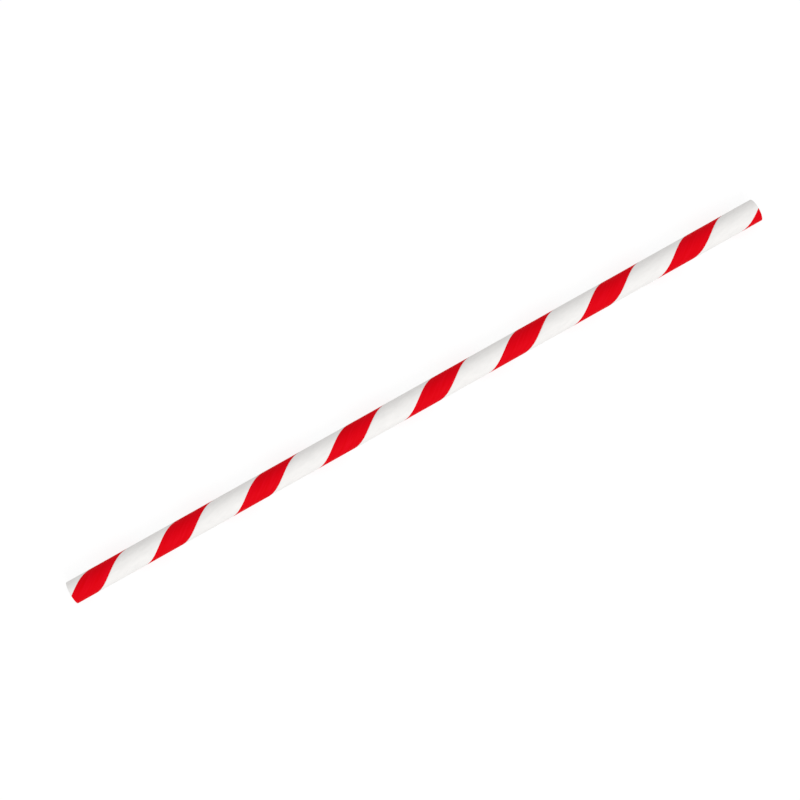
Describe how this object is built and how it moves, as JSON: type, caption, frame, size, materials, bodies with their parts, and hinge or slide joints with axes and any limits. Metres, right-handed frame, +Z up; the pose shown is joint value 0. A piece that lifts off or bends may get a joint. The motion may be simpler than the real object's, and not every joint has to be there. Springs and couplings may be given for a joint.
{
  "type": "paper drinking straw",
  "caption": "Straight round drinking straw: a spiral-wound paper tube, open at both ends, white with a red helical stripe.",
  "frame": {"origin": "on the surface it lies on, under the middle of its length", "axes": "+X along the straw, +Z up; the red stripe winds left-handed about +X"},
  "size_m": [0.197, 0.006, 0.0059],
  "materials": {
    "paper": "matte uncoated white paper with a red printed helical stripe"
  },
  "bodies": {
    "root": {"paper_tube": "paper"}
  },
  "joints": []
}
